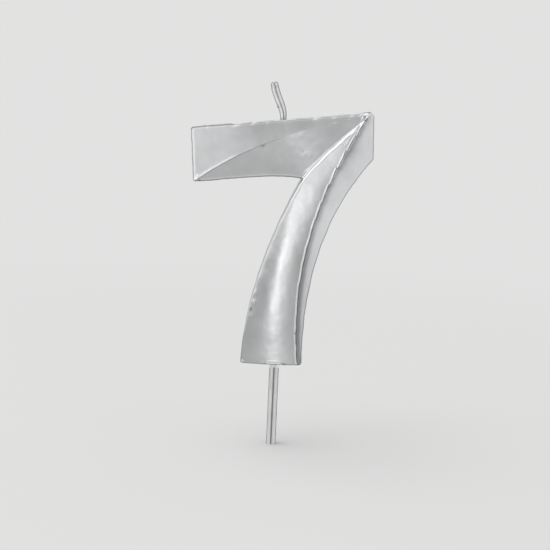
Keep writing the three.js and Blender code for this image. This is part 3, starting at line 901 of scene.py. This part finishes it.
def bake_modifiers(piece):
    graph = bpy.context.evaluated_depsgraph_get()
    mesh = bpy.data.meshes.new_from_object(piece.evaluated_get(graph))
    piece.modifiers.clear()
    piece.data = mesh
    mesh.polygons.foreach_set("use_smooth", [True] * len(mesh.polygons))


# ---------------------------------------------------------------- the pick and its seal

RIB_RADIUS, RIB_OFFSET = 0.66, 0.66
PICK_TAPER, PICK_POINT = 9.0, 0.25
BARB_COUNT, BARB_RADIUS, BARB_PITCH, BARB_HEIGHT = 3, 2.25, 4.5, 1.6
SECTION_SIDES = 96
PICK_SWELL = 0.012
SEAL_ROWS, SEAL_BORE_ROWS = 22, 4
SEAL_BITE = 0.04  # how far the drop's top sinks into the wax
SEAL_RISE, SEAL_SCALLOP = 0.15, 0.12
SEAL_FILL, SEAL_CLEARANCE = 0.9, 0.03


def rib_outline(angle):
    """Radius of the four-ribbed section at an angle."""
    turn = np.abs((angle % (math.pi / 2)) - math.pi / 4)
    centre = RIB_OFFSET * math.sqrt(2)
    return centre * np.cos(turn) + np.sqrt(np.maximum(RIB_RADIUS ** 2 - (centre * np.sin(turn)) ** 2, 0.01))


def ring_at(radius, angle, z):
    return np.column_stack([radius * np.cos(angle), radius * np.sin(angle), z + np.zeros(len(angle))])


def barbed(radius, z, ribs):
    """The radius widened where a barb passes z. A barb tapers towards the ribs as it rises."""
    for barb in range(1, BARB_COUNT + 1):
        low = barb * BARB_PITCH - BARB_HEIGHT / 2
        if low <= z <= low + BARB_HEIGHT:
            radius = np.maximum(radius, BARB_RADIUS - (BARB_RADIUS - ribs) * (z - low) / BARB_HEIGHT)
    return radius


def build_pick():
    angle = np.linspace(0, 2 * math.pi, SECTION_SIDES, endpoint=False)
    section = rib_outline(angle)
    largest = section.max()
    foot, tip_end, near_wax = pick_low[2], pick_low[2] + PICK_TAPER, -0.5
    heights = np.concatenate([
        foot + PICK_TAPER * np.linspace(0, 1, 26) ** 1.3,
        np.linspace(tip_end, near_wax, 74)[1:],
        np.linspace(near_wax, pick_high[2], 60)[1:],
    ])
    rows = []
    for z in heights:
        limit = PICK_POINT + (largest - PICK_POINT) * min(1, (z - foot) / PICK_TAPER)
        swell = PICK_SWELL * np.sin(z * 1.7 + 2 * np.sin(z * 0.31)) * (section / largest)
        rows.append(ring_at(barbed(np.minimum(section, limit) + swell, z, largest), angle, z))
    points = np.vstack(rows + [np.array([[0, 0, foot], [0, 0, pick_high[2]]])])
    return make_mesh("ribbed_pick", points, closed_tube_faces(len(rows), SECTION_SIDES), pick_plating)


def build_seal():
    """A drawn-up drop that hugs the ribs below and spreads on the wax above."""
    sides = SECTION_SIDES
    angle = np.linspace(0, 2 * math.pi, sides, endpoint=False)
    inner = rib_outline(angle) + SEAL_CLEARANCE
    uneven = 1 + 0.1 * np.sin(angle * 2 + 0.7) + 0.07 * np.sin(angle * 3 + 2.1)
    top, foot = FOOT + SEAL_BITE, seal_low[2] + SEAL_RISE
    rings = []
    for u in np.arange(SEAL_ROWS) / (SEAL_ROWS - 1):
        filled = inner + (inner.max() - inner) * SEAL_FILL * (1 - u) ** 0.8
        spread = (seal_high[0] - inner.max()) * (1 - u) ** 1.6 + 0.04
        z = top + (foot * (1 + SEAL_SCALLOP * np.sin(angle * 4)) - top) * u
        rings.append(ring_at(filled + spread * uneven * 0.9, angle, z))
    for row in range(SEAL_BORE_ROWS):
        z = foot + (top - foot) * row / (SEAL_BORE_ROWS - 1)
        rings.append(ring_at(inner * 0.96 - 0.02 * row, angle, z))
    faces = []
    for i in range(len(rings)):
        for j in range(sides):
            k, below = (j + 1) % sides, (i + 1) % len(rings)
            faces.append([i * sides + k, i * sides + j, below * sides + j, below * sides + k])
    return make_mesh("seal_drop", np.vstack(rings), faces, seal_lacquer)


# ---------------------------------------------------------------- stage, light and camera

FLOOR_Z = -23.4  # how deep the pick is pushed in
FLOOR_COLOUR, FLOOR_RADIUS = (0.64, 0.64, 0.633, 1), 3000
FLOOR_RINGS, FLOOR_SPOKES = 40, 96
FLOOR_FADE = (0.04, 0.5)  # from shaded floor to plain glow, in metres from the middle
LEAN = math.radians(2.5)
PITCH = math.radians(7.23)
CAMERA_PLACE = (-2.75, -340.07, 67.42)
FOCAL_PX, FRAME_PX = 1238.0, 550.0
PALE, PALE_TINT = 0.77, (0.985, 0.99, 0.98)
LAMP_PLACE, LAMP_SIZE, LAMP_WATTS = (-150, -100, 900), (900, 900), 2.2

# Half brightness of the reflected studio by direction, in degrees right of the front, in four bands by
# height. Each fade gives the heights in degrees over which the band before it gives way.
RING_FADES = ((-90, -80), (-18.5, -15), (-7, -3), (7, 17))
LOW_RING = [
    (-180, 0.34), (-95, 0.42), (-60, 0.3), (-20, 0.3), (0, 0.29), (10, 0.28), (22, 0.3), (40, 0.41),
    (95, 0.45), (180, 0.34),
]
STEM_RING = [
    (-180, 0.34), (-95, 0.52), (-75, 0.44), (-55, 0.27), (-36, 0.22), (-16, 0.215), (-11, 0.25), (-8, 0.42),
    (-3, 0.85), (0, 0.95), (6, 0.56), (12, 0.32), (18, 0.22), (26, 0.22), (36, 0.3), (48, 0.38), (66, 0.42),
    (95, 0.45), (180, 0.34),
]
BAR_RING = [
    (-180, 0.34), (-95, 0.55), (-60, 0.54), (-40, 0.5), (-30, 0.42), (-21, 0.42), (-14, 0.46), (-10, 0.38),
    (-4, 0.42), (0, 0.52), (6, 0.5), (12, 0.38), (18, 0.27), (24, 0.24), (48, 0.38), (66, 0.42), (95, 0.45),
    (180, 0.34),
]
HIGH_RING = [
    (-180, 0.36), (-95, 0.85), (-60, 0.9), (-45, 0.7), (-38, 0.5), (-28, 0.33), (-20, 0.29), (-12, 0.28),
    (0, 0.27), (30, 0.3), (60, 0.38), (95, 0.45), (180, 0.36),
]
STUDIO_GAIN = (1.99, 2.0, 2.0, 1)


def build_camera():
    camera = bpy.data.cameras.new("camera")
    camera.sensor_width = 36.0
    camera.sensor_fit = "HORIZONTAL"
    camera.lens = camera.sensor_width * FOCAL_PX / FRAME_PX
    camera.clip_start, camera.clip_end = 0.01, 50
    holder = bpy.data.objects.new("camera", camera)
    bpy.context.scene.collection.objects.link(holder)
    forward = Vector((0, math.cos(PITCH), -math.sin(PITCH)))
    up = Vector((0, math.sin(PITCH), math.cos(PITCH)))
    roll = Matrix.Rotation(-LEAN, 3, "Y")
    forward, up = roll @ forward, roll @ up
    right = forward.cross(up)
    basis = Matrix((right, up, -forward)).transposed().to_4x4()
    basis.translation = Vector(CAMERA_PLACE) * MM
    holder.matrix_world = basis
    bpy.context.scene.camera = holder


def floor_material():
    """Matt near the candle, where it takes the shadow, and an even glow further out."""
    material, tree, shader = new_material("pale_floor")
    shader.inputs["Base Color"].default_value = FLOOR_COLOUR
    shader.inputs["Roughness"].default_value = 0.9
    shader.inputs["Specular IOR Level"].default_value = 0.1
    glow = add_node(tree, "ShaderNodeEmission", Color=(*PALE_TINT, 1), Strength=PALE)
    coordinates = tree.nodes.new("ShaderNodeTexCoord")
    away = tree.nodes.new("ShaderNodeVectorMath")
    away.operation = "LENGTH"
    tree.links.new(coordinates.outputs["Object"], away.inputs[0])
    share = add_node(tree, "ShaderNodeMapRange", From_Min=FLOOR_FADE[0], From_Max=FLOOR_FADE[1])
    share.interpolation_type = "SMOOTHSTEP"
    tree.links.new(away.outputs["Value"], share.inputs["Value"])
    blend = tree.nodes.new("ShaderNodeMixShader")
    tree.links.new(share.outputs["Result"], blend.inputs["Fac"])
    tree.links.new(shader.outputs["BSDF"], blend.inputs[1])
    tree.links.new(glow.outputs["Emission"], blend.inputs[2])
    tree.links.new(blend.outputs["Shader"], tree.nodes["Material Output"].inputs["Surface"])
    return material


def build_floor():
    points, faces = [(0, 0, FLOOR_Z)], []
    for i in range(1, FLOOR_RINGS + 1):
        radius = FLOOR_RADIUS * (i / FLOOR_RINGS) ** 2.5
        for j in range(FLOOR_SPOKES):
            a = 2 * math.pi * j / FLOOR_SPOKES
            points.append((radius * math.cos(a), radius * math.sin(a), FLOOR_Z))
    for j in range(FLOOR_SPOKES):
        faces.append([0, 1 + j, 1 + (j + 1) % FLOOR_SPOKES])
    for i in range(FLOOR_RINGS - 1):
        for j in range(FLOOR_SPOKES):
            k = (j + 1) % FLOOR_SPOKES
            a, b = 1 + i * FLOOR_SPOKES, 1 + (i + 1) * FLOOR_SPOKES
            faces.append([a + j, b + j, b + k, a + k])
    floor = make_mesh("floor", points, faces, floor_material())
    floor.visible_glossy = False


def math_node(tree, operation, a, b=None, c=None):
    node = tree.nodes.new("ShaderNodeMath")
    node.operation = operation
    for socket, value in zip(node.inputs, (a, b, c)):
        if isinstance(value, bpy.types.NodeSocket):
            tree.links.new(value, socket)
        elif value is not None:
            socket.default_value = value
    return node.outputs["Value"]


def ring_place(degrees):
    """A direction's place in a ring, which starts and ends behind."""
    return 0.5 + degrees / 360


def sky_place(degrees):
    """The place of a height above the horizon, from 0 straight down to 1 straight up."""
    return 0.5 + 0.5 * math.sin(math.radians(degrees))


def build_world():
    """Plain and pale to the eye. Reflections see a soft studio, grey with one tall soft light ahead."""
    world = bpy.data.worlds.new("studio")
    bpy.context.scene.world = world
    world.use_nodes = True
    tree = world.node_tree
    coordinates = tree.nodes.new("ShaderNodeTexCoord")
    axes = tree.nodes.new("ShaderNodeSeparateXYZ")
    tree.links.new(coordinates.outputs["Generated"], axes.inputs["Vector"])
    ahead = math_node(tree, "MULTIPLY", axes.outputs["Y"], -1.0)
    azimuth = math_node(tree, "ARCTAN2", axes.outputs["X"], ahead)
    turn = math_node(tree, "MULTIPLY_ADD", azimuth, 0.5 / math.pi, 0.5)
    height = math_node(tree, "MULTIPLY_ADD", axes.outputs["Z"], 0.5, 0.5)

    sky = None
    for ring, (fade_low, fade_high) in zip((LOW_RING, STEM_RING, BAR_RING, HIGH_RING), RING_FADES):
        band = ramp(tree, turn, [(ring_place(a), v) for a, v in ring])
        share = ramp(tree, height, [(sky_place(fade_low), 0.0), (sky_place(fade_high), 1.0)])
        sky = band if sky is None else mix(tree, share, sky, band)
    sky = mix(tree, 1.0, sky, STUDIO_GAIN)
    sky.node.blend_type = "MULTIPLY"
    path = tree.nodes.new("ShaderNodeLightPath")
    plain = tuple(PALE * tint for tint in PALE_TINT)
    seen = mix(tree, path.outputs["Is Camera Ray"], sky, (*plain, 1))
    tree.links.new(seen, tree.nodes["Background"].inputs["Color"])


def soft_light(name, place, target, size, watts):
    lamp = bpy.data.lights.new(name, "AREA")
    lamp.shape = "RECTANGLE"
    lamp.size, lamp.size_y = size[0] * MM, size[1] * MM
    lamp.energy = watts
    holder = bpy.data.objects.new(name, lamp)
    holder.location = Vector(place) * MM
    direction = Vector(target) * MM - holder.location
    holder.rotation_euler = direction.to_track_quat("-Z", "Y").to_euler()
    bpy.context.scene.collection.objects.link(holder)
    holder.visible_glossy = False


def add_piece(piece, node):
    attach(piece, BODY)
    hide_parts(node)


build_camera()
add_piece(build_numeral(), "wax_numeral")
add_piece(build_wick(), "wick")
add_piece(build_pick(), "pick")
add_piece(build_seal(), "pick_seal")
build_floor()
build_world()
soft_light("top_softbox", LAMP_PLACE, (0, 0, 0), LAMP_SIZE, LAMP_WATTS)
bpy.context.scene.view_settings.view_transform = "Standard"
